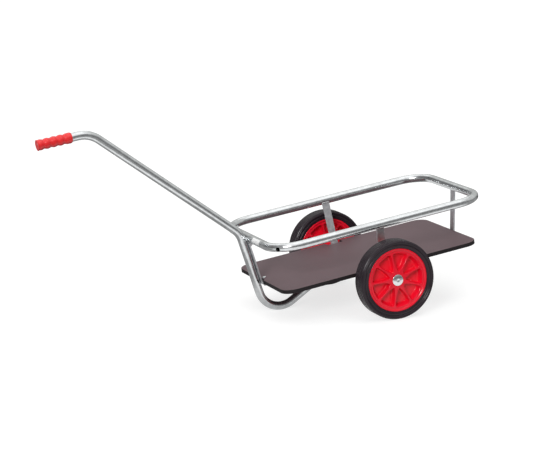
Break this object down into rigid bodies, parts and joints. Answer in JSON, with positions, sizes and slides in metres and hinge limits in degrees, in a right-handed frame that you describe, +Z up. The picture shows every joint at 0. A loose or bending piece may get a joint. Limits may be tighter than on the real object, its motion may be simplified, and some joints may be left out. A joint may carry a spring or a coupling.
{
  "type": "two-wheeled hand cart",
  "caption": "Hand cart with a bent tube drawbar and grip, a tube rail round a plywood deck, and ribbed wheels on a fixed axle; it parks on the wheels and the drawbar's foot.",
  "frame": {"origin": "on the floor below the middle of the parked cart's box", "axes": "+Z up, +X from the grip to the rear of the cart, +Y to the cart's right"},
  "size_m": [1.412, 0.58, 0.6287],
  "materials": {
    "zinc_tube": "bright zinc plating",
    "zinc_bar": "matt zinc plating",
    "zinc_cap": "bright zinc plating",
    "steel_axle": "drawn steel",
    "film_plywood": "brown phenolic film, satin",
    "red_rim": "gloss",
    "black_tyre": "matt",
    "red_grip": "satin"
  },
  "bodies": {
    "frame": {"drawbar": "zinc_tube", "handle_grip": "red_grip", "rail_loop": "zinc_tube", "front_strip": "zinc_bar", "rear_post": "zinc_bar", "axle_bow": "zinc_bar", "deck": "film_plywood", "axle_tube": "zinc_tube", "axle": "steel_axle", "hub_caps": "zinc_cap"},
    "wheel_left": {"tyre_left": "black_tyre", "rim_left": "red_rim"},
    "wheel_right": {"tyre_right": "black_tyre", "rim_right": "red_rim"}
  },
  "joints": [
    {"name": "wheel_left_spin", "type": "hinge", "parent": "frame", "child": "wheel_left", "pos_m": [0.35588, -0.2615, 0.125], "axis": [0, -1, 0], "continuous": true},
    {"name": "wheel_right_spin", "type": "hinge", "parent": "frame", "child": "wheel_right", "pos_m": [0.35588, 0.2615, 0.125], "axis": [0, -1, 0], "continuous": true}
  ]
}
